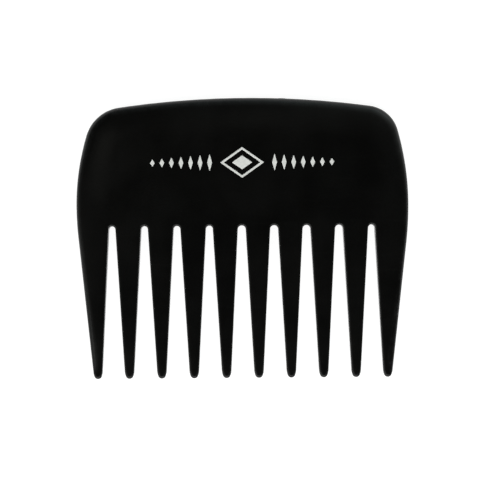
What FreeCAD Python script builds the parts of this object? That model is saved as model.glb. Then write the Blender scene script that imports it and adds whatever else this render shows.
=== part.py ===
import FreeCAD, Part
import math
import os

from FreeCAD import Vector

# Beard comb: one black plastic moulding with ten wide tapered teeth, and a thin printed
# ornament on the front of its spine. Millimetres.
#
# The comb lies on its back. X runs along the comb's width, Y from the tooth tips up to the
# spine, and Z from the back to the printed front. The origin is under the middle of the
# comb's box, on the flat back of the spine.

# --- Overall size -----------------------------------------------------------------------
WIDTH = 82.0                    # over the widest part of the sides
HEIGHT = 69.2                   # from the tooth tips to the top of the spine
SPINE_THICKNESS = 4.3
TIP_THICKNESS = 2.0             # of the teeth, at the tip line

# --- Outer outline: arcs that meet tangentially; the left shoulder is the rounder one --------
TOP_RADIUS = 223.0              # shallow crown along the top of the spine
TOP_APEX_X = 0.7                # where the crown is highest
LEFT, RIGHT = -1, 1
SHOULDER_RADIUS = {LEFT: 9.8, RIGHT: 8.3}
UPPER_SIDE_RADIUS = {LEFT: 60.0, RIGHT: 68.0}   # from the shoulder down to the widest level
LOWER_SIDE_RADIUS = {LEFT: 76.0, RIGHT: 83.0}   # from there down to the end tooth's straight edge
WIDEST_Y = 8.2                  # level where the comb is widest
END_TOOTH_TAPER = {LEFT: math.radians(5.9), RIGHT: math.radians(6.6)}

# --- Teeth and gaps -------------------------------------------------------------------------
TOOTH_COUNT = 10
TOOTH_PITCH = 8.0
TOOTH_ROW_X = -0.22             # middle of the row of gaps
GAP_ROOT_Y = 3.1                # top of every gap
GAP_WIDTH_AT_TIPS = 5.86
END_TOOTH_EXTRA_WIDTH = 0.18    # taken off the end gaps at their tips, on the end tooth's side
NARROW_ROOT_RADIUS = 0.86
WIDE_ROOT_RADIUS = 1.0
WIDE_ROOTED_GAPS = range(4, 8)  # gaps are numbered from the left, starting at 0
TIP_NOSE_RADIUS = 0.95
TIP_FLANK_RADIUS = 4.0          # arc that leads from a tooth's straight side into its nose

# --- Side profile -----------------------------------------------------------------------------
TAPER_START_Y = 6.0             # where the faces' straight taper would leave the spine's planes
TAPER_BLEND_RADIUS = 300.0

# --- Edge rounding, the same on front and back ----------------------------------------------
RIM_RADIUS = 0.82
WALL_LEAN = 0.1                 # the Z of a wall's normal stays below this
FACE_LEAN = 0.9                 # the Z of the front and back faces' normals stays above this

# --- Printed ornament ---------------------------------------------------------------------------
INK_THICKNESS = 0.05
PRINT_CENTRE_Y = 18.6
FRAME_HALF_WIDTH = 5.4
FRAME_HALF_HEIGHT = 3.8
FRAME_STROKE = 0.9              # width of the frame's line, measured along X
LOZENGE_HALF_WIDTH = 2.5
LOZENGE_HALF_HEIGHT = 1.72
TICKS_PER_SIDE = 7
TICK_HALF_WIDTH = 0.58
FIRST_TICK_X = 8.0
TICK_SPACING = 2.35
FIRST_TICK_HEIGHT = 4.4
LAST_TICK_HEIGHT = 1.8

TOP_Y = HEIGHT / 2
TIP_Y = -HEIGHT / 2
GAP_COUNT = TOOTH_COUNT - 1


def polar(centre, radius, angle):
    return centre + Vector(radius * math.cos(angle), radius * math.sin(angle), 0)


def bearing(centre, point):
    return math.atan2(point.y - centre.y, point.x - centre.x)


def arc(centre, radius, start, end):
    """Edge along a circle, from the angle start to the angle end."""
    middle = (start + end) / 2
    points = [polar(centre, radius, angle) for angle in (start, middle, end)]
    return Part.Arc(*points).toShape()


def line(start, end):
    return Part.LineSegment(start, end).toShape()


def mirrored(shape):
    return shape.mirror(Vector(0, 0, 0), Vector(1, 0, 0))


def side_centre(side, radius):
    """Centre of a side arc that reaches the widest level, drawn as if the side were the right one."""
    return Vector(WIDTH / 2 - radius[side], WIDEST_Y, 0)


def shoulder_centre(side, top_centre, upper_centre):
    """Centre of the shoulder arc, which touches the top arc and the upper side arc from inside."""
    to_top = TOP_RADIUS - SHOULDER_RADIUS[side]
    to_side = UPPER_SIDE_RADIUS[side] - SHOULDER_RADIUS[side]
    apart = upper_centre - top_centre
    along = (to_top**2 - to_side**2 + apart.Length**2) / (2 * apart.Length)
    across = math.sqrt(to_top**2 - along**2)
    direction = apart.normalize()
    return top_centre + direction * along + Vector(direction.y, -direction.x, 0) * across


def outer_arcs(side):
    """One side's arcs, from the top of the crown to where the end tooth's straight edge starts."""
    top_centre = Vector(side * TOP_APEX_X, TOP_Y - TOP_RADIUS, 0)
    upper_centre = side_centre(side, UPPER_SIDE_RADIUS)
    lower_centre = side_centre(side, LOWER_SIDE_RADIUS)
    corner = shoulder_centre(side, top_centre, upper_centre)
    top_end = bearing(top_centre, corner)
    side_start = bearing(upper_centre, corner)
    arcs = [
        arc(top_centre, TOP_RADIUS, math.pi / 2, top_end),
        arc(corner, SHOULDER_RADIUS[side], top_end, side_start),
        arc(upper_centre, UPPER_SIDE_RADIUS[side], side_start, 0),
        arc(lower_centre, LOWER_SIDE_RADIUS[side], 0, -END_TOOTH_TAPER[side]),
    ]
    return arcs if side == RIGHT else [mirrored(edge) for edge in arcs]


def outer_wall(side):
    """Start and downward direction of an end tooth's straight outer edge."""
    start = polar(side_centre(side, LOWER_SIDE_RADIUS), LOWER_SIDE_RADIUS[side], -END_TOOTH_TAPER[side])
    return (
        Vector(side * start.x, start.y, 0),
        Vector(-side * math.sin(END_TOOTH_TAPER[side]), -math.cos(END_TOOTH_TAPER[side]), 0),
    )


class Gap:
    """The space between two teeth: a round root with two straight walls that open downwards."""

    def __init__(self, number):
        self.radius = WIDE_ROOT_RADIUS if number in WIDE_ROOTED_GAPS else NARROW_ROOT_RADIUS
        middle_x = TOOTH_ROW_X + (number - (GAP_COUNT - 1) / 2) * TOOTH_PITCH
        self.centre = Vector(middle_x, GAP_ROOT_Y - self.radius, 0)
        self.end_tooth_side = {0: LEFT, GAP_COUNT - 1: RIGHT}.get(number)

    def slope(self, side):
        """Angle between the vertical and the wall on that side of the gap."""
        half_width = GAP_WIDTH_AT_TIPS / 2
        if side == self.end_tooth_side:
            half_width -= END_TOOTH_EXTRA_WIDTH
        depth = self.centre.y - TIP_Y
        reach = math.hypot(depth, half_width)
        return math.atan2(half_width, depth) - math.asin(self.radius / reach)

    def wall(self, side):
        """Start and downward direction of the wall on that side of the gap."""
        slope = self.slope(side)
        start = self.centre + Vector(
            side * self.radius * math.cos(slope), self.radius * math.sin(slope), 0
        )
        return start, Vector(side * math.sin(slope), -math.cos(slope), 0)

    def root(self):
        return arc(self.centre, self.radius, self.slope(RIGHT), math.pi - self.slope(LEFT))


def flank_centre(wall, inward_x, nose):
    """Centre of the arc that touches the wall and wraps the nose circle of the tooth tip."""
    start, down = wall
    inward = Vector(-down.y, down.x, 0)
    if inward.x * inward_x < 0:
        inward = inward * -1
    base = start + inward * TIP_FLANK_RADIUS
    to_base = base - nose
    along = to_base.dot(down)
    reach = TIP_FLANK_RADIUS - TIP_NOSE_RADIUS
    travel = -along - math.sqrt(along**2 - to_base.Length**2 + reach**2)
    centre = base + down * travel
    return centre, centre - inward * TIP_FLANK_RADIUS


def tooth_edges(left_wall, right_wall):
    """A tooth's two straight sides and its rounded tip, from the left wall round to the right."""
    nose_y = TIP_Y + TIP_NOSE_RADIUS
    crossings = [start + down * ((nose_y - start.y) / down.y) for start, down in (left_wall, right_wall)]
    nose = (crossings[0] + crossings[1]) / 2
    left_centre, left_end = flank_centre(left_wall, RIGHT, nose)
    right_centre, right_end = flank_centre(right_wall, LEFT, nose)
    left_meeting = bearing(left_centre, nose)
    right_meeting = bearing(right_centre, nose)
    left_start = bearing(left_centre, left_end) % (2 * math.pi) - 2 * math.pi
    return [
        line(left_wall[0], left_end),
        arc(left_centre, TIP_FLANK_RADIUS, left_start, left_meeting),
        arc(nose, TIP_NOSE_RADIUS, left_meeting, right_meeting),
        arc(right_centre, TIP_FLANK_RADIUS, right_meeting, bearing(right_centre, right_end)),
        line(right_end, right_wall[0]),
    ]


def outline_face():
    """The comb's flat outline as one face in the XY plane."""
    gaps = [Gap(number) for number in range(GAP_COUNT)]
    left_walls = [outer_wall(LEFT)] + [gap.wall(RIGHT) for gap in gaps]
    right_walls = [gap.wall(LEFT) for gap in gaps] + [outer_wall(RIGHT)]
    edges = outer_arcs(LEFT) + outer_arcs(RIGHT)
    edges += [gap.root() for gap in gaps]
    for left_wall, right_wall in zip(left_walls, right_walls):
        edges += tooth_edges(left_wall, right_wall)
    return Part.Face(Part.Wire(Part.__sortEdges__(edges)))


def side_profile():
    """Prism across the whole width: flat-sided along the spine, tapering evenly down the teeth."""
    middle_z = SPINE_THICKNESS / 2
    spine_half = SPINE_THICKNESS / 2
    tip_half = TIP_THICKNESS / 2
    slope = math.atan2(spine_half - tip_half, TAPER_START_Y - TIP_Y)
    blend = TAPER_BLEND_RADIUS * math.tan(slope / 2)
    margin = 5.0

    def at(y, offset):
        return Vector(-WIDTH, y, middle_z + offset)

    def face_line(side):
        """Points along one face, from above the spine to below the tips; side is 1 front, -1 back."""
        blend_start = TAPER_START_Y + blend
        blend_middle_drop = TAPER_BLEND_RADIUS * (1 - math.cos(slope / 2))
        blend_middle = blend_start - TAPER_BLEND_RADIUS * math.sin(slope / 2)
        blend_end = TAPER_START_Y - blend * math.cos(slope)
        blend_end_drop = blend * math.sin(slope)
        below_tips = tip_half - margin * math.tan(slope)
        return (
            at(TOP_Y + margin, side * spine_half),
            at(blend_start, side * spine_half),
            at(blend_middle, side * (spine_half - blend_middle_drop)),
            at(blend_end, side * (spine_half - blend_end_drop)),
            at(TIP_Y - margin, side * below_tips),
        )

    edges = []
    ends = []
    for side in (1, -1):
        top, start, middle, end, bottom = face_line(side)
        edges += [line(top, start), Part.Arc(start, middle, end).toShape(), line(end, bottom)]
        ends.append((top, bottom))
    edges += [line(ends[0][0], ends[1][0]), line(ends[0][1], ends[1][1])]
    face = Part.Face(Part.Wire(Part.__sortEdges__(edges)))
    return face.extrude(Vector(2 * WIDTH, 0, 0))


def is_rim(shape, edge):
    """True for the edges where a wall of the outline meets the front or the back face."""
    leans = []
    for face in shape.ancestorsOfType(edge, Part.Face):
        first, last, low, high = face.ParameterRange
        leans.append(abs(face.normalAt((first + last) / 2, (low + high) / 2).z))
    return min(leans) < WALL_LEAN and max(leans) > FACE_LEAN


def rounded(shape):
    rims = [edge for edge in shape.Edges if is_rim(shape, edge)]
    return shape.makeFillet(RIM_RADIUS, rims)


def comb_body():
    blank = outline_face().extrude(Vector(0, 0, SPINE_THICKNESS))
    return rounded(blank.common(side_profile()))


def ink(outline_points):
    """One printed island: a closed polygon laid on the spine's front face."""
    wire = Part.makePolygon(outline_points + outline_points[:1])
    return Part.Face(wire).extrude(Vector(0, 0, INK_THICKNESS))


def lozenge(x, half_width, half_height):
    z = SPINE_THICKNESS
    return ink([
        Vector(x - half_width, PRINT_CENTRE_Y, z),
        Vector(x, PRINT_CENTRE_Y + half_height, z),
        Vector(x + half_width, PRINT_CENTRE_Y, z),
        Vector(x, PRINT_CENTRE_Y - half_height, z),
    ])


def centre_frame():
    shrink = 1 - FRAME_STROKE / FRAME_HALF_WIDTH
    outer = lozenge(0, FRAME_HALF_WIDTH, FRAME_HALF_HEIGHT)
    return outer.cut(lozenge(0, FRAME_HALF_WIDTH * shrink, FRAME_HALF_HEIGHT * shrink))


def ticks(side):
    """A row of upright lozenges that get shorter away from the centre."""
    marks = []
    for number in range(TICKS_PER_SIDE):
        share = number / (TICKS_PER_SIDE - 1)
        height = FIRST_TICK_HEIGHT + share * (LAST_TICK_HEIGHT - FIRST_TICK_HEIGHT)
        x = side * (FIRST_TICK_X + number * TICK_SPACING)
        marks.append(lozenge(x, TICK_HALF_WIDTH, height / 2))
    return Part.makeCompound(marks)


NODES = {
    "comb_body": comb_body(),
    "print_centre_frame": centre_frame(),
    "print_centre_lozenge": lozenge(0, LOZENGE_HALF_WIDTH, LOZENGE_HALF_HEIGHT),
    "print_left_ticks": ticks(LEFT),
    "print_right_ticks": ticks(RIGHT),
}

os.makedirs("parts", exist_ok=True)
for name, shape in NODES.items():
    shape.exportStep(f"parts/{name}.step")
    state = "valid" if shape.isValid() else "not valid"
    print(name, state, len(shape.Solids), "solids", round(shape.Volume, 3), "mm3")
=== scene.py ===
import math

import bpy
import numpy as np
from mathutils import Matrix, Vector, geometry


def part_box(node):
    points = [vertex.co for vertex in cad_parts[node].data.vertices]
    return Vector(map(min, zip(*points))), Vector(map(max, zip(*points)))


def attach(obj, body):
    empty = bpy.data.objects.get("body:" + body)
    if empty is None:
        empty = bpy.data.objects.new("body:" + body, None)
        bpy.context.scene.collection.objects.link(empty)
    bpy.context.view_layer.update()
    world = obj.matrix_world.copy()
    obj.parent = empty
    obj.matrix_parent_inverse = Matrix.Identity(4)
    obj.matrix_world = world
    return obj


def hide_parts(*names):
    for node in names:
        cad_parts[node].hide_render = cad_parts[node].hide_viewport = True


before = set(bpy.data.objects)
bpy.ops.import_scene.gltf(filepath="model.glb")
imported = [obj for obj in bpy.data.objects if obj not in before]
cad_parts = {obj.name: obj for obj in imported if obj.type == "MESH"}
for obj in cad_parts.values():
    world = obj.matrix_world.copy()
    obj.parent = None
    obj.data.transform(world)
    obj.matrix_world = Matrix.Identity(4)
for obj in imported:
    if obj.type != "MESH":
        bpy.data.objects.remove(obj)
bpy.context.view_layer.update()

# A black moulded beard comb with a pale printed ornament, lying on its back on a plain floor.
# Shapes are worked out in millimetres in the CAD frame and scaled to metres when a mesh is made.

MM = 0.001
BODY_LOW, BODY_HIGH = (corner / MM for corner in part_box("comb_body"))

# --- Outline, from the CAD box and the comb's own proportions -----------------------------------
HALF_WIDTH = BODY_HIGH.x
TOP_Y = BODY_HIGH.y
TIP_Y = BODY_LOW.y
MIDDLE_Z = (BODY_LOW.z + BODY_HIGH.z) / 2
SPINE_HALF = (BODY_HIGH.z - BODY_LOW.z) / 2
TIP_HALF = 1.0                  # half thickness of the teeth at the tip line
TOP_RADIUS = 223.0
TOP_APEX_X = 0.7
LEFT, RIGHT = -1, 1
SHOULDER_RADIUS = {LEFT: 9.8, RIGHT: 8.3}
UPPER_SIDE_RADIUS = {LEFT: 60.0, RIGHT: 68.0}
LOWER_SIDE_RADIUS = {LEFT: 76.0, RIGHT: 83.0}
WIDEST_Y = 8.2
END_TOOTH_TAPER = {LEFT: math.radians(5.9), RIGHT: math.radians(6.6)}
TOOTH_COUNT = 10
TOOTH_PITCH = 8.0
TOOTH_ROW_X = -0.22
GAP_ROOT_Y = 3.1
GAP_HALF_WIDTH_AT_TIPS = 2.93
END_TOOTH_EXTRA_WIDTH = 0.18    # taken off the end gaps at their tips, on the end tooth's side
NARROW_ROOT_RADIUS = 0.86
WIDE_ROOT_RADIUS = 1.0
WIDE_ROOTED_GAPS = range(4, 8)
NOSE_RADIUS = 0.95
FLANK_RADIUS = 4.0
TAPER_START_Y = 6.0
TAPER_BLEND = 8.4               # length over which the flat spine turns into the taper
SAME_POINT = 1e-4               # outline points closer than this count as one

# --- How the moulding's edges and faces are rounded ----------------------------------------------
SPINE_RIM = (2.0, 1.5)          # inward reach and drop of the rounding along the top and shoulders,
SIDE_RIM = (1.3, 1.05)          # at the widest part of the sides,
END_TOOTH_RIM = (1.9, 0.78)     # on the outer side of an end tooth's tip,
TIP_RIM = (0.62, 0.6)           # round the teeth's tips
GAP_RIM = (0.45, 0.42)          # and between the teeth
SIDE_TO_SPINE_Y = (WIDEST_Y + 4, WIDEST_Y + 18)     # levels between which one rim turns into another
END_TO_SIDE_Y = (TIP_Y + 2, WIDEST_Y - 16)
TIP_TO_GAP_Y = (TIP_Y + 1, TIP_Y + 5)
RIM_STEPS = 9
RIM_BLEND_POINTS = 9            # outline points over which neighbouring rims are evened out
LEAST_HALF_WALL = 0.12          # height of wall that the rims always leave on each side of the middle
CROWN_REACH = 8.5               # the faces fall away towards the outer edge from this far inside
CROWN_DROP = 0.55
TIP_CROWN_REACH = 2.4
TIP_CROWN_DROP = 0.12
TIP_CROWN_Y = -22.0             # the crown has its reach and drop for the tips below this level
BROAD_WAVE = 0.010              # height of the faces' slow unevenness
FINE_WAVE = 0.004               # and of the quicker one
WALL_DRAFT = math.radians(1.0)
WALL_BEND = 0.6                 # share of the wall's half height where it has a ring of its own
PARTING_RIDGE = 0.035           # fine raised line where the mould's halves met
PARTING_HALF_WIDTH = 0.08
GATE_X = 10.0                   # trimmed gate mark on the spine's top edge
GATE_HALF_WIDTH = 0.9
GATE_FADE = 0.25
GATE_HEIGHT = 0.07
GATE_ZONE = 5.0                 # the gate mark is only on the part of the outline this close to the top
WALL_WEAR = 0.15                # how rubbed the walls are, where a rim's middle is 1

# --- Mesh density ------------------------------------------------------------------------------
WALL_STEP = 0.55
ARC_STEP = 0.22
SHOULDER_STEP = 0.4
NOSE_STEP = 0.13
ROOT_STEP = 0.15
FACE_STEP = 0.72
LEAST_ARC_STEPS = 6
FILL_CLEARANCE = 0.55           # least distance of a face's inner points from its edge, in face steps
FILL_INSIDE = 1                 # the triangulation keeps only triangles inside the loop
FILL_TOLERANCE = 1e-7
POINTS_AT_A_TIME = 1500         # keeps the distance tables small

# --- Print ---------------------------------------------------------------------------------------
INK_HEIGHT = 0.03
INK_FOOT = 0.02                 # how far an island's foot is sunk into the plastic
INK_CORNER = 0.07
INK_CORNER_STEPS = 4
INK_SOFT_EDGE = [(0.0, 0.55), (0.12, 0.92), (0.3, 1.0)]     # across an ink line, and height, as shares
INK_DOME = [(1.0, 0.55), (0.955, 0.92), (0.88, 1.0), (0.45, 1.0)]   # size of a filled island, and height
LONG_SIDE = 0.3                 # sides longer than this are divided
ISLAND_SIDE_PARTS = 6
FRAME_SIDE_PARTS = 12
FRAME_STROKE_SHARE = 0.167      # width of the frame's line as a share of its half width
TICKS_PER_SIDE = 7
TICK_HALF_WIDTH = 0.58
FIRST_TICK_HALF_HEIGHT = 2.2
LAST_TICK_HALF_HEIGHT = 0.9


def smoothstep(low, high, value):
    share = np.clip((np.asarray(value, float) - low) / (high - low), 0, 1)
    return share * share * (3 - 2 * share)


def unit(angle):
    return np.array([math.cos(angle), math.sin(angle)])


def bearing(centre, point):
    return math.atan2(point[1] - centre[1], point[0] - centre[0])


# ==================================================================================================
# The outline: points with their outward normals, counter-clockwise from the middle of the top edge
# ==================================================================================================

def along_arc(centre, radius, start, end, hollow=False, step=ARC_STEP):
    """Samples an arc, its last point left out; a hollow arc has the plastic outside its circle."""
    count = max(LEAST_ARC_STEPS, math.ceil(abs(end - start) * radius / step))
    angles = np.linspace(start, end, count, endpoint=False)
    rays = np.stack([np.cos(angles), np.sin(angles)], 1)
    return centre + radius * rays, -rays if hollow else rays


def along_line(start, end, step=WALL_STEP):
    length = np.linalg.norm(end - start)
    count = max(1, math.ceil(length / step))
    share = np.linspace(0, 1, count, endpoint=False)[:, None]
    direction = (end - start) / length
    normal = np.array([direction[1], -direction[0]])
    return start + (end - start) * share, np.repeat(normal[None], count, 0)


def shoulder_centre(side, top_centre, upper_centre):
    """Centre of the arc that touches the top arc and the upper side arc from inside."""
    to_top = TOP_RADIUS - SHOULDER_RADIUS[side]
    to_side = UPPER_SIDE_RADIUS[side] - SHOULDER_RADIUS[side]
    apart = upper_centre - top_centre
    distance = np.linalg.norm(apart)
    along = (to_top**2 - to_side**2 + distance**2) / (2 * distance)
    across = math.sqrt(to_top**2 - along**2)
    direction = apart / distance
    return top_centre + direction * along + np.array([-direction[1], direction[0]]) * across


def mirrored(stretch):
    """The same stretch on the other side of the comb, walked the same way round."""
    points, normals = stretch
    flip = np.array([-1.0, 1.0])
    return points[::-1] * flip, normals[::-1] * flip


def outer_stretches(side):
    """One side's outer edge from the crown's top to the end tooth, drawn as if it were the left."""
    top = np.array([-side * TOP_APEX_X, TOP_Y - TOP_RADIUS])
    upper_radius, lower_radius = UPPER_SIDE_RADIUS[side], LOWER_SIDE_RADIUS[side]
    upper = np.array([upper_radius - HALF_WIDTH, WIDEST_Y])
    lower = np.array([lower_radius - HALF_WIDTH, WIDEST_Y])
    corner = shoulder_centre(side, top, upper)
    top_end = bearing(top, corner)
    side_start = bearing(upper, corner)
    lower_end = math.pi + END_TOOTH_TAPER[side]
    return [
        along_arc(top, TOP_RADIUS, math.pi / 2, top_end, step=WALL_STEP),
        along_arc(corner, SHOULDER_RADIUS[side], top_end, side_start, step=SHOULDER_STEP),
        along_arc(upper, upper_radius, side_start, math.pi, step=WALL_STEP),
        along_arc(lower, lower_radius, math.pi, lower_end, step=WALL_STEP),
    ]


def outer_wall(side):
    """Start and downward direction of an end tooth's straight outer edge."""
    radius, taper_angle = LOWER_SIDE_RADIUS[side], END_TOOTH_TAPER[side]
    sides = np.array([side, 1.0])
    start = np.array([HALF_WIDTH - radius, WIDEST_Y]) + radius * unit(-taper_angle)
    down = np.array([-math.sin(taper_angle), -math.cos(taper_angle)])
    return start * sides, down * sides


class Gap:
    """The space between two teeth: a round root with two straight walls that open downwards."""

    def __init__(self, number):
        last = TOOTH_COUNT - 2
        self.radius = WIDE_ROOT_RADIUS if number in WIDE_ROOTED_GAPS else NARROW_ROOT_RADIUS
        middle_x = TOOTH_ROW_X + (number - last / 2) * TOOTH_PITCH
        self.centre = np.array([middle_x, GAP_ROOT_Y - self.radius])
        self.end_tooth_side = {0: LEFT, last: RIGHT}.get(number)

    def slope(self, side):
        """Angle between the vertical and the wall on that side of the gap."""
        half_width = GAP_HALF_WIDTH_AT_TIPS
        if side == self.end_tooth_side:
            half_width -= END_TOOTH_EXTRA_WIDTH
        depth = self.centre[1] - TIP_Y
        reach = math.hypot(depth, half_width)
        return math.atan2(half_width, depth) - math.asin(self.radius / reach)

    def wall(self, side):
        """Start and downward direction of the wall on that side of the gap."""
        slope = self.slope(side)
        start = self.centre + self.radius * np.array([side * math.cos(slope), math.sin(slope)])
        return start, np.array([side * math.sin(slope), -math.cos(slope)])

    def root(self):
        left, right = math.pi - self.slope(LEFT), self.slope(RIGHT)
        return along_arc(self.centre, self.radius, left, right, hollow=True, step=ROOT_STEP)


def flank_centre(wall, inward_side, nose):
    """Centre of the arc that leads from a wall into the nose, and the point where it leaves the wall."""
    start, down = wall
    inward = np.array([-down[1], down[0]])
    inward = inward * (1 if inward[0] * inward_side > 0 else -1)
    base = start + inward * FLANK_RADIUS
    to_base = base - nose
    along = to_base @ down
    reach = FLANK_RADIUS - NOSE_RADIUS
    centre = base + down * (-along - math.sqrt(along**2 - to_base @ to_base + reach**2))
    return centre, centre - inward * FLANK_RADIUS


def tooth_stretches(left_wall, right_wall):
    """Down a tooth's left wall, round its tip and up its right wall."""
    nose_y = TIP_Y + NOSE_RADIUS
    crossings = [
        start + down * ((nose_y - start[1]) / down[1])
        for start, down in (left_wall, right_wall)
    ]
    nose = (crossings[0] + crossings[1]) / 2
    left_centre, left_end = flank_centre(left_wall, RIGHT, nose)
    right_centre, right_end = flank_centre(right_wall, LEFT, nose)
    full_turn = 2 * math.pi
    left_start = bearing(left_centre, left_end) % full_turn - full_turn
    left_meeting = bearing(left_centre, nose)
    right_meeting = bearing(right_centre, nose)
    return [
        along_line(left_wall[0], left_end),
        along_arc(left_centre, FLANK_RADIUS, left_start, left_meeting),
        along_arc(nose, NOSE_RADIUS, left_meeting, right_meeting, step=NOSE_STEP),
        along_arc(right_centre, FLANK_RADIUS, right_meeting, bearing(right_centre, right_end)),
        along_line(right_end, right_wall[0]),
    ]


def comb_outline():
    """Points, outward normals and, for each point, whether it is on the outer edge."""
    gaps = [Gap(number) for number in range(TOOTH_COUNT - 1)]
    left_walls = [outer_wall(LEFT)] + [gap.wall(RIGHT) for gap in gaps]
    right_walls = [gap.wall(LEFT) for gap in gaps] + [outer_wall(RIGHT)]
    stretches = [(stretch, True) for stretch in outer_stretches(LEFT)]
    for number in range(TOOTH_COUNT):
        parts = tooth_stretches(left_walls[number], right_walls[number])
        last = len(parts) - 1
        for place, part in enumerate(parts):
            outside = (number == 0 and place == 0) or (number == TOOTH_COUNT - 1 and place == last)
            stretches.append((part, outside))
        if number < TOOTH_COUNT - 1:
            stretches.append((gaps[number].root(), False))
    # the last tooth's wall leaves out its upper end, so that point is added before the side's arcs
    wall_start, wall_down = right_walls[-1]
    wall_top = (wall_start[None], np.array([[-wall_down[1], wall_down[0]]]))
    stretches.append((wall_top, True))
    for stretch in reversed(outer_stretches(RIGHT)):
        stretches.append((mirrored(stretch), True))
    points = np.concatenate([stretch[0] for stretch, _ in stretches])
    normals = np.concatenate([stretch[1] for stretch, _ in stretches])
    outer = np.concatenate([np.full(len(stretch[0]), outside) for stretch, outside in stretches])
    keep = np.linalg.norm(points - np.roll(points, 1, 0), axis=1) > SAME_POINT
    return points[keep], normals[keep], outer[keep]


OUTLINE, NORMALS, IS_OUTER = comb_outline()
OUTER_EDGE = OUTLINE[IS_OUTER]


# ==================================================================================================
# The faces: height of the front face over the comb's middle plane
# ==================================================================================================

def distance_to(points, targets):
    """Distance from each point to the nearest of the targets."""
    nearest = [
        np.sqrt(((block[:, None] - targets[None]) ** 2).sum(2).min(1))
        for block in np.array_split(points, max(1, len(points) // POINTS_AT_A_TIME))
    ]
    return np.concatenate(nearest)


def taper(y):
    """Half thickness from the side profile: flat along the spine, then an even taper to the tips."""
    slope = (SPINE_HALF - TIP_HALF) / (TAPER_START_Y - TIP_Y)
    below = TAPER_START_Y + TAPER_BLEND / 2 - y
    in_blend = np.maximum(below, 0) ** 2 / (2 * TAPER_BLEND)
    past_blend = below - TAPER_BLEND / 2
    return SPINE_HALF - slope * np.where(below < TAPER_BLEND, in_blend, past_blend)


def face_height(points):
    """Half thickness with the crown that falls away towards the outer edge."""
    spine_share = smoothstep(TIP_CROWN_Y, WIDEST_Y, points[:, 1])
    reach = TIP_CROWN_REACH + (CROWN_REACH - TIP_CROWN_REACH) * spine_share
    drop = TIP_CROWN_DROP + (CROWN_DROP - TIP_CROWN_DROP) * spine_share
    nearness = np.clip(1 - distance_to(points, OUTER_EDGE) / reach, 0, 1)
    return taper(points[:, 1]) - drop * nearness**2


def waviness(points):
    """The slight unevenness of a moulded face, about a hundredth of a millimetre."""
    x, y = points[:, 0], points[:, 1]
    broad = np.sin(x * 0.23 + 1.3 * np.sin(y * 0.11)) * np.sin(y * 0.19 + 0.7)
    fine = np.sin(x * 0.61 + y * 0.37 + 2.1) * np.sin(y * 0.53 - x * 0.21)
    return BROAD_WAVE * broad + FINE_WAVE * fine


def along_edge_blend(values):
    """Evens out a value along the outline, so that one kind of rim runs into the next."""
    reach = RIM_BLEND_POINTS
    kernel = np.hanning(2 * reach + 1)
    kernel /= kernel.sum()
    wrapped = np.concatenate([values[-reach:], values, values[:reach]])
    return np.convolve(wrapped, kernel, mode="valid")


def rim_sizes():
    """Inward reach and drop of the rounding at every outline point."""
    y = OUTLINE[:, 1]
    above_side = smoothstep(*SIDE_TO_SPINE_Y, y)
    above_tip = smoothstep(*END_TO_SIDE_Y, y)
    near_tip = 1 - smoothstep(*TIP_TO_GAP_Y, y)
    sizes = []
    for spine, side, end, tip, gap in zip(SPINE_RIM, SIDE_RIM, END_TOOTH_RIM, TIP_RIM, GAP_RIM):
        on_outer = end + (side - end) * above_tip + (spine - side) * above_side
        in_gap = gap + (tip - gap) * near_tip
        sizes.append(along_edge_blend(np.where(IS_OUTER, on_outer, in_gap)))
    return sizes


# ==================================================================================================
# Meshes
# ==================================================================================================

def make_object(name, points, faces, attributes=None):
    """A smooth-shaded mesh object from points in millimetres."""
    mesh = bpy.data.meshes.new(name)
    mesh.from_pydata((np.asarray(points) * MM).tolist(), [], faces)
    mesh.polygons.foreach_set("use_smooth", np.ones(len(mesh.polygons), bool))
    for key, values in (attributes or {}).items():
        layer = mesh.attributes.new(key, "FLOAT", "POINT")
        layer.data.foreach_set("value", np.asarray(values, np.float32))
    mesh.update()
    thing = bpy.data.objects.new(name, mesh)
    bpy.context.scene.collection.objects.link(thing)
    return thing


def ring_quads(lower, upper, count):
    """Quads between two closed rings of the same count, given by their first vertex numbers."""
    following = [(i + 1) % count for i in range(count)]
    return [(lower + i, lower + j, upper + j, upper + i) for i, j in enumerate(following)]


def inside(points, loop):
    """Which points lie inside a closed loop."""
    x, y = points[:, 0], points[:, 1]
    result = np.zeros(len(points), bool)
    for (ax, ay), (bx, by) in zip(loop, np.roll(loop, -1, 0)):
        if ay == by:
            continue
        crosses = ((ay > y) != (by > y)) & (x < (bx - ax) * (y - ay) / (by - ay) + ax)
        result ^= crosses
    return result


def fill_loop(loop, step):
    """Points inside a closed loop on a staggered grid, and triangles over loop and points together."""
    low, high = loop.min(0), loop.max(0)
    rows = np.arange(low[1] + step / 2, high[1], step * math.sqrt(3) / 2)
    columns = np.arange(low[0], high[0], step)
    grid = np.concatenate([
        np.stack([columns + step / 2 * (number % 2), np.full(len(columns), row)], 1)
        for number, row in enumerate(rows)
    ])
    grid = grid[inside(grid, loop)]
    grid = grid[distance_to(grid, loop) > step * FILL_CLEARANCE]
    points = np.concatenate([loop, grid])
    count = len(loop)
    edges = [(i, (i + 1) % count) for i in range(count)]
    made = geometry.delaunay_2d_cdt(
        [tuple(p) for p in points], edges, [], FILL_INSIDE, FILL_TOLERANCE
    )
    places, origins = np.array([tuple(v) for v in made[0]]), made[3]
    if len(places) != len(points):
        raise ValueError("the face fill moved or merged points")
    original = [origin[0] for origin in origins]
    triangles = [tuple(original[corner] for corner in face) for face in made[2]]
    return grid, triangles


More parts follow.
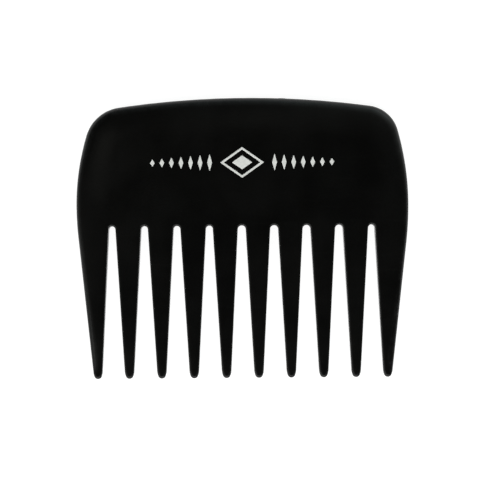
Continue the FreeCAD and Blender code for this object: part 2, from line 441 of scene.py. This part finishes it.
def comb_moulding():
    """The comb itself: rims and walls in rings along the outline, and filled front and back faces."""
    reach, drop = rim_sizes()
    count = len(OUTLINE)
    edge_height = face_height(OUTLINE)
    drop = np.minimum(drop, edge_height - LEAST_HALF_WALL)

    def rim_ring(share):
        """Ring at a share of the quarter turn from the wall, 0, to the face, 1."""
        turn = share * math.pi / 2
        places = OUTLINE - NORMALS * (reach * (1 - math.cos(turn)))[:, None]
        height = face_height(places) - drop * (1 - math.sin(turn))
        return places, height + waviness(places) * share

    _, wall_height = rim_ring(0.0)
    rings, wear = [], []
    rim = [rim_ring(step / RIM_STEPS) for step in range(1, RIM_STEPS + 1)]
    worn = [math.sin(math.pi * step / RIM_STEPS) for step in range(1, RIM_STEPS + 1)]
    beside_gate = abs(OUTLINE[:, 0] - GATE_X)
    gate = 1 - smoothstep(GATE_HALF_WIDTH - GATE_FADE, GATE_HALF_WIDTH, beside_gate)
    gate = gate * (OUTLINE[:, 1] > TOP_Y - GATE_ZONE) * GATE_HEIGHT

    def wall_ring(height, raised=0.0):
        """Ring of the wall at a height over the middle plane, with the mould's draft."""
        out = raised + gate - np.abs(height) * math.tan(WALL_DRAFT)
        places = OUTLINE + NORMALS * np.broadcast_to(out, count)[:, None]
        return places, np.broadcast_to(height, count)

    # the parting ridge is half as high in some places as in others
    along = np.arange(count)
    uneven = 0.75 + 0.25 * np.sin(along * 0.7) * np.sin(along * 0.113)
    walls = [
        wall_ring(-wall_height),
        wall_ring(-wall_height * WALL_BEND),
        wall_ring(-PARTING_HALF_WIDTH),
        wall_ring(0.0, PARTING_RIDGE * uneven),
        wall_ring(PARTING_HALF_WIDTH),
        wall_ring(wall_height * WALL_BEND),
        wall_ring(wall_height),
    ]
    for (places, height), amount in zip(reversed(rim), reversed(worn)):
        rings.append(np.column_stack([places, MIDDLE_Z - height]))
        wear.append(np.full(count, amount))
    for places, height in walls:
        rings.append(np.column_stack([places, MIDDLE_Z + height]))
        wear.append(np.full(count, WALL_WEAR))
    for (places, height), amount in zip(rim, worn):
        rings.append(np.column_stack([places, MIDDLE_Z + height]))
        wear.append(np.full(count, amount))

    faces = []
    for number in range(len(rings) - 1):
        faces += ring_quads(number * count, (number + 1) * count, count)

    inner_loop = rim[-1][0]
    grid, triangles = fill_loop(inner_loop, FACE_STEP)
    height = face_height(grid) + waviness(grid)
    first_front = (len(rings) - 1) * count
    front_grid = len(rings) * count
    back_grid = front_grid + len(grid)

    def renumber(corner, ring_start, grid_start):
        return ring_start + corner if corner < count else grid_start + corner - count

    faces += [tuple(renumber(c, first_front, front_grid) for c in face) for face in triangles]
    faces += [tuple(renumber(c, 0, back_grid) for c in reversed(face)) for face in triangles]
    points = np.concatenate([
        *rings,
        np.column_stack([grid, MIDDLE_Z + height]),
        np.column_stack([grid, MIDDLE_Z - height]),
    ])
    edge_wear = np.concatenate([*wear, np.zeros(2 * len(grid))])
    return make_object("comb_moulding", points, faces, {"edge_wear": edge_wear})


def front_surface(points):
    return MIDDLE_Z + face_height(points) + waviness(points)


def rounded_corners(corners, radius):
    """A closed loop with each corner of a polygon replaced by a small arc."""
    steps = INK_CORNER_STEPS
    loop = []
    for before, corner, after in zip(np.roll(corners, 1, 0), corners, np.roll(corners, -1, 0)):
        inward, outward = before - corner, after - corner
        inward, outward = inward / np.linalg.norm(inward), outward / np.linalg.norm(outward)
        half = math.acos(np.clip(inward @ outward, -1, 1)) / 2
        middle = (inward + outward) / np.linalg.norm(inward + outward)
        centre = corner + middle * radius / math.sin(half)
        start = corner + inward * radius / math.tan(half)
        end = corner + outward * radius / math.tan(half)
        first, last = bearing(centre, start), bearing(centre, end)
        turn = (last - first) % (2 * math.pi)
        loop += [centre + radius * unit(first + turn * step / steps) for step in range(steps + 1)]
    return np.array(loop)


def lozenge_corners(centre, half_width, half_height):
    across, up = np.array([half_width, 0]), np.array([0, half_height])
    return np.array([centre - across, centre - up, centre + across, centre + up])


def divided(loop, parts):
    """Adds evenly spaced points along a closed loop's longer sides."""
    points = []
    for start, end in zip(loop, np.roll(loop, -1, 0)):
        count = parts if np.linalg.norm(end - start) > LONG_SIDE else 1
        points += [start + (end - start) * step / count for step in range(count)]
    return np.array(points)


def rounded_lozenge(centre, half_width, half_height, parts):
    corners = lozenge_corners(centre, half_width, half_height)
    return divided(rounded_corners(corners, INK_CORNER), parts)


def solid_island(centre, half_width, half_height):
    """Points and faces of one filled lozenge of ink with a soft edge and a closed foot."""
    loop = rounded_lozenge(centre, half_width, half_height, ISLAND_SIDE_PARTS)
    count = len(loop)
    levels = [(1.0, -INK_FOOT)] + [(share, INK_HEIGHT * height) for share, height in INK_DOME]
    rings = []
    for share, lift in levels:
        places = centre + (loop - centre) * share
        rings.append(np.column_stack([places, front_surface(places) + lift]))
    faces = []
    for number in range(len(rings) - 1):
        faces += ring_quads(number * count, (number + 1) * count, count)
    middle = centre[None]
    points = np.concatenate([
        *rings,
        np.column_stack([middle, front_surface(middle) + INK_HEIGHT]),
        np.column_stack([middle, front_surface(middle) - INK_FOOT]),
    ])
    last = (len(rings) - 1) * count
    top, bottom = len(points) - 2, len(points) - 1
    for i in range(count):
        following = (i + 1) % count
        faces.append((last + i, last + following, top))
        faces.append((following, i, bottom))
    return points, faces


def ring_island(centre, half_width, half_height, share):
    """A lozenge-shaped line of ink: the same soft edge inside and outside."""
    outer = rounded_lozenge(centre, half_width, half_height, FRAME_SIDE_PARTS)
    count = len(outer)
    outside = [(across, height * INK_HEIGHT) for across, height in INK_SOFT_EDGE]
    inside_edge = [(1 - across, lift) for across, lift in reversed(outside)]
    levels = [(0.0, -INK_FOOT), *outside, *inside_edge, (1.0, -INK_FOOT)]
    rings = []
    for across, lift in levels:
        places = centre + (outer - centre) * (1 - across * share)
        rings.append(np.column_stack([places, front_surface(places) + lift]))
    faces = []
    for number in range(len(rings)):
        faces += ring_quads(number * count, (number + 1) % len(rings) * count, count)
    return np.concatenate(rings), faces


def joined(islands):
    """Several islands' points and faces as those of one mesh."""
    points, faces, first = [], [], 0
    for island_points, island_faces in islands:
        faces += [tuple(corner + first for corner in face) for face in island_faces]
        points.append(island_points)
        first += len(island_points)
    return np.concatenate(points), faces


def node_box(node):
    """Centre and half size of a CAD node seen from the front, in millimetres."""
    low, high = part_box(node)
    low, high = np.array(low[:2]) / MM, np.array(high[:2]) / MM
    return (low + high) / 2, (high - low) / 2


def tick_islands(node, side):
    """The graded ticks of one side: tallest next to the centre, evenly spaced over the CAD node."""
    centre, half = node_box(node)
    islands = []
    for number in range(TICKS_PER_SIDE):
        share = number / (TICKS_PER_SIDE - 1)
        x = centre[0] - side * (half[0] - TICK_HALF_WIDTH) * (1 - 2 * share)
        half_height = FIRST_TICK_HALF_HEIGHT + share * (LAST_TICK_HALF_HEIGHT - FIRST_TICK_HALF_HEIGHT)
        islands.append(solid_island(np.array([x, centre[1]]), TICK_HALF_WIDTH, half_height))
    return islands


def printed_ornament():
    """The four ink pieces, each with the CAD node it stands for."""
    frame_box = node_box("print_centre_frame")
    lozenge_box = node_box("print_centre_lozenge")
    shapes = [
        ("ink_centre_frame", "print_centre_frame",
         [ring_island(frame_box[0], *frame_box[1], FRAME_STROKE_SHARE)]),
        ("ink_centre_lozenge", "print_centre_lozenge",
         [solid_island(lozenge_box[0], *lozenge_box[1])]),
        ("ink_left_ticks", "print_left_ticks", tick_islands("print_left_ticks", LEFT)),
        ("ink_right_ticks", "print_right_ticks", tick_islands("print_right_ticks", RIGHT)),
    ]
    return [(make_object(name, *joined(islands)), node) for name, node, islands in shapes]


# ==================================================================================================
# Materials
# ==================================================================================================

class Nodes:
    """Short ways to add and link shader nodes of one material or world."""

    def __init__(self, owner):
        owner.use_nodes = True
        self.tree = owner.node_tree
        self.tree.nodes.clear()

    def add(self, kind, inputs=None, **settings):
        node = self.tree.nodes.new(kind)
        for key, value in settings.items():
            setattr(node, key, value)
        for key, value in (inputs or {}).items():
            self.feed(node.inputs[key], value)
        return node

    def feed(self, socket, value):
        """Links another node's output to a socket, or sets the socket to a constant."""
        if isinstance(value, bpy.types.NodeSocket):
            self.tree.links.new(value, socket)
        else:
            socket.default_value = value

    def place(self, scale, rotation=(0, 0, 0)):
        """Object coordinates, in metres, stretched and turned."""
        source = self.add("ShaderNodeTexCoord").outputs["Object"]
        inputs = {"Vector": source, "Rotation": rotation, "Scale": scale}
        return self.add("ShaderNodeMapping", inputs).outputs[0]

    def noise(self, scale, detail=3.0, roughness=0.5, stretch=(1, 1, 1), turn=(0, 0, 0)):
        """Noise with scale features a metre, from 0 to 1 and about 0.5 on average."""
        where = self.place(stretch, turn)
        inputs = {"Vector": where, "Scale": scale, "Detail": detail, "Roughness": roughness}
        return self.add("ShaderNodeTexNoise", inputs).outputs["Fac"]

    def spread(self, value, low, high, to_low=0.0, to_high=1.0):
        """Maps low..high onto to_low..to_high and clamps what lies outside."""
        source = {"Value": value, "From Min": low, "From Max": high}
        target = {"To Min": to_low, "To Max": to_high}
        return self.add("ShaderNodeMapRange", {**source, **target}, clamp=True).outputs[0]

    def math(self, operation, first, second):
        node = self.add("ShaderNodeMath", operation=operation)
        for socket, value in zip(node.inputs, (first, second)):
            self.feed(socket, value)
        return node.outputs[0]

    def mix(self, share, first, second):
        """A colour between first and second."""
        node = self.add("ShaderNodeMix", data_type="RGBA")
        wanted = {("Factor", "VALUE"): share, ("A", "RGBA"): first, ("B", "RGBA"): second}
        for socket in node.inputs:
            if (socket.name, socket.type) in wanted:
                self.feed(socket, wanted.pop((socket.name, socket.type)))
        return next(socket for socket in node.outputs if socket.type == "RGBA")

    def bump(self, height, distance, strength=1.0, below=None):
        inputs = {"Height": height, "Distance": distance, "Strength": strength}
        if below is not None:
            inputs["Normal"] = below
        return self.add("ShaderNodeBump", inputs).outputs[0]

    def surface(self, **inputs):
        shader = self.add("ShaderNodeBsdfPrincipled", inputs)
        self.add("ShaderNodeOutputMaterial", {"Surface": shader.outputs[0]})


def black_plastic():
    """Near-black satin plastic: soft mould texture, faint flow clouds, hairline scratches and worn rims."""
    material = bpy.data.materials.new("black_plastic")
    n = Nodes(material)
    clouds = n.noise(90, detail=3)
    grain = n.noise(3200, detail=2, roughness=0.6)
    ripple = n.noise(420, detail=2)
    hair_a = n.noise(900, detail=1, stretch=(0.05, 1.6, 1), turn=(0, 0, math.radians(78)))
    hair_b = n.noise(1100, detail=1, stretch=(0.04, 1.8, 1), turn=(0, 0, math.radians(-61)))
    scratches = n.math("MAXIMUM", n.spread(hair_a, 0.70, 0.76), n.spread(hair_b, 0.71, 0.77))
    worn = n.add("ShaderNodeAttribute", attribute_name="edge_wear").outputs["Fac"]
    rubbed = n.math("MULTIPLY", worn, n.spread(n.noise(700, detail=4, roughness=0.7), 0.42, 0.66))
    colour = n.mix(n.spread(clouds, 0.35, 0.65), (0.0021, 0.0021, 0.0020, 1), (0.0030, 0.0030, 0.0028, 1))
    colour = n.mix(n.math("MULTIPLY", rubbed, 0.35), colour, (0.012, 0.013, 0.013, 1))
    rough = n.spread(clouds, 0.3, 0.7, 0.17, 0.23)
    rough = n.math("ADD", rough, n.math("MULTIPLY", scratches, 0.03))
    rough = n.math("ADD", rough, n.math("MULTIPLY", rubbed, 0.10))
    normal = n.bump(ripple, 0.000012)
    normal = n.bump(grain, 0.0000025, below=normal)
    normal = n.bump(scratches, 0.0000012, strength=-0.25, below=normal)
    n.surface(**{
        "Base Color": colour,
        "Roughness": rough,
        "Normal": normal,
        "IOR": 1.49,
        "Specular IOR Level": 0.24,
    })
    return material


def white_ink():
    """Pad-printed off-white ink: slightly uneven cover, pinholes and a soft skin."""
    material = bpy.data.materials.new("white_ink")
    n = Nodes(material)
    cover = n.noise(1500, detail=3, roughness=0.6)
    pinholes = n.spread(n.noise(5200, detail=1), 0.70, 0.74)
    skin = n.noise(2600, detail=3)
    colour = n.mix(n.spread(cover, 0.35, 0.7), (0.81, 0.81, 0.785, 1), (0.91, 0.91, 0.89, 1))
    colour = n.mix(n.math("MULTIPLY", pinholes, 0.5), colour, (0.12, 0.12, 0.12, 1))
    rough = n.spread(skin, 0.3, 0.7, 0.48, 0.62)
    normal = n.bump(skin, 0.000006)
    n.surface(**{"Base Color": colour, "Roughness": rough, "Normal": normal, "IOR": 1.47})
    return material


def pale_floor():
    """A matt, evenly lit pale sheet, like the top of a light table."""
    material = bpy.data.materials.new("pale_floor")
    n = Nodes(material)
    tint = n.mix(n.noise(14, detail=2), (0.34, 0.34, 0.34, 1), (0.36, 0.36, 0.358, 1))
    n.surface(**{
        "Base Color": tint,
        "Roughness": 0.85,
        "Specular IOR Level": 0.1,
        "Emission Color": (1, 1, 1, 1),
        "Emission Strength": 0.9,
    })
    return material


# ==================================================================================================
# Floor, light and camera
# ==================================================================================================

FLOOR_RADIUS = 2400.0           # flat part of the floor, in millimetres
FLOOR_RINGS = (0.1, 0.4, 0.8)   # inner rings of the flat part, as shares of its radius
FLOOR_SWEEP = 600.0             # beyond it the floor curves up into a low backdrop
SWEEP_ANGLES = range(0, 91, 10)
FLOOR_SEGMENTS = 96
SKY_GAIN = 1.8
SKY_STOPS = [(0.0, 1.0), (0.45, 0.45), (0.84, 0.22), (0.94, 0.14), (1.0, 0.04)]    # height, level
SIDE_BASE = 0.12                # brightness of the studio's darkest side
SPINE_SIDE = (54, 6.0, 1.9)     # azimuth in degrees, sharpness and gain of a bright side
LEFT_SIDE = (225, 3.0, 1.1)
OVERHEAD_BLEND = 0.12           # the bright sides fade out within about this lean of the zenith
TIPS_TINT = (0.98, 1, 0.93, 1)  # slightly warm light from the tips' end, and cool from the spine's
SPINE_TINT = (0.84, 1, 1, 1)
STRIP_TINT = (1.0, 1.0, 0.9)
CAMERA_LENS = 135.0
SENSOR = 36.0
FRAME_WIDTH = 118.7             # what the picture's width covers at the comb's middle plane
COMB_OFFSET = (0.67, 0.51)      # the comb lies this far right of and above the picture's middle
COMB_TURN = math.radians(0.46)


def floor():
    """A round plain floor whose border sweeps up into a low backdrop."""
    profile = [(FLOOR_RADIUS * share, 0.0) for share in FLOOR_RINGS]
    profile += [
        (FLOOR_RADIUS + FLOOR_SWEEP * math.sin(turn), FLOOR_SWEEP * (1 - math.cos(turn)))
        for turn in map(math.radians, SWEEP_ANGLES)
    ]
    around = np.linspace(0, 2 * math.pi, FLOOR_SEGMENTS, endpoint=False)
    rings = [
        np.column_stack([
            radius * np.cos(around),
            radius * np.sin(around),
            np.full(FLOOR_SEGMENTS, height),
        ])
        for radius, height in profile
    ]
    faces = [tuple(range(FLOOR_SEGMENTS))]
    for number in range(len(rings) - 1):
        faces += ring_quads((number + 1) * FLOOR_SEGMENTS, number * FLOOR_SEGMENTS, FLOOR_SEGMENTS)
    made = make_object("floor", np.concatenate(rings), faces)
    made.data.materials.append(pale_floor())


def area_light(name, place, size, power, target=(0, 0, 0), tint=(1, 1, 1)):
    """A soft rectangular light; place, target and size in millimetres."""
    data = bpy.data.lights.new(name, "AREA")
    data.shape = "RECTANGLE"
    data.size, data.size_y = size[0] * MM, size[1] * MM
    data.energy = power
    data.color = tint
    light = bpy.data.objects.new(name, data)
    start, end = np.array(place) * MM, np.array(target) * MM
    light.location = start
    direction = Vector(end - start)
    light.rotation_mode = "QUATERNION"
    light.rotation_quaternion = direction.to_track_quat("-Z", "Y")
    bpy.context.scene.collection.objects.link(light)


def studio_world():
    """A studio that is dark overhead and brighter towards the horizon, with two broad bright sides."""
    world = bpy.data.worlds.new("studio")
    bpy.context.scene.world = world
    n = Nodes(world)
    direction = n.add("ShaderNodeTexCoord").outputs["Generated"]
    parts = n.add("ShaderNodeSeparateXYZ", {"Vector": direction}).outputs
    flat = {"X": parts["X"], "Y": parts["Y"], "Z": OVERHEAD_BLEND}
    level = n.add("ShaderNodeCombineXYZ", flat).outputs[0]
    level = n.add("ShaderNodeVectorMath", {0: level}, operation="NORMALIZE").outputs[0]

    def bright_side(azimuth, sharpness, gain):
        """Light that is strongest from one azimuth and falls off to both sides of it."""
        towards = (*unit(math.radians(azimuth)), 0)
        product = n.add("ShaderNodeVectorMath", {0: level, 1: towards}, operation="DOT_PRODUCT")
        facing = n.math("MAXIMUM", product.outputs["Value"], 0.0)
        return n.math("MULTIPLY", n.math("POWER", facing, sharpness), gain)

    side = n.math("ADD", SIDE_BASE, bright_side(*SPINE_SIDE))
    side = n.math("ADD", side, bright_side(*LEFT_SIDE))
    ramp = n.add("ShaderNodeValToRGB", {"Fac": parts["Z"]})
    stops = ramp.color_ramp.elements
    while len(stops) < len(SKY_STOPS):
        stops.new(0.5)
    for stop, (height, value) in zip(stops, SKY_STOPS):
        stop.position = height
        stop.color = (value, value, value, 1)
    strength = n.math("MULTIPLY", ramp.outputs["Color"], n.math("MULTIPLY", side, SKY_GAIN))
    tint = n.mix(n.math("MAXIMUM", parts["Y"], 0.0), TIPS_TINT, SPINE_TINT)
    background = n.add("ShaderNodeBackground", {"Color": tint, "Strength": strength})
    n.add("ShaderNodeOutputWorld", {"Surface": background.outputs[0]})


def lights():
    """The studio's own light, two faint lights above the face, and softboxes at the tips and low left."""
    studio_world()
    left, spine = (-33, 24, 0), (5, 29, 0)
    area_light("strip_above_left", (-138, 78, 640), (80, 70), 0.010, target=left, tint=STRIP_TINT)
    area_light("strip_above_spine", (12, 130, 640), (36, 90), 0.004, target=spine, tint=STRIP_TINT)
    area_light("softbox_at_tips", (0, -500, 550), (900, 500), 3.8)
    area_light("softbox_low_left", (-536, -260, 430), (240, 260), 0.30, target=(-36, -28, 0))


def camera():
    """Straight down on the comb's front."""
    data = bpy.data.cameras.new("camera")
    data.lens = CAMERA_LENS
    data.sensor_width = SENSOR
    data.clip_start, data.clip_end = 0.01, 20
    seen = bpy.data.objects.new("camera", data)
    distance = FRAME_WIDTH / 2 / (SENSOR / 2 / CAMERA_LENS)
    seen.location = (-COMB_OFFSET[0] * MM, -COMB_OFFSET[1] * MM, (MIDDLE_Z + distance) * MM)
    seen.rotation_euler = (0, 0, -COMB_TURN)
    bpy.context.scene.collection.objects.link(seen)
    bpy.context.scene.camera = seen


def colour_management():
    """Plain display colours, so that the black stays black and the ink stays white."""
    view = bpy.context.scene.view_settings
    view.view_transform = "Standard"
    view.look = "None"


camera()
lights()
floor()
colour_management()

moulding = comb_moulding()
moulding.data.materials.append(black_plastic())
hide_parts("comb_body")
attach(moulding, "root")

ink_material = white_ink()
for ink, node in printed_ornament():
    ink.data.materials.append(ink_material)
    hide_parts(node)
    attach(ink, "root")
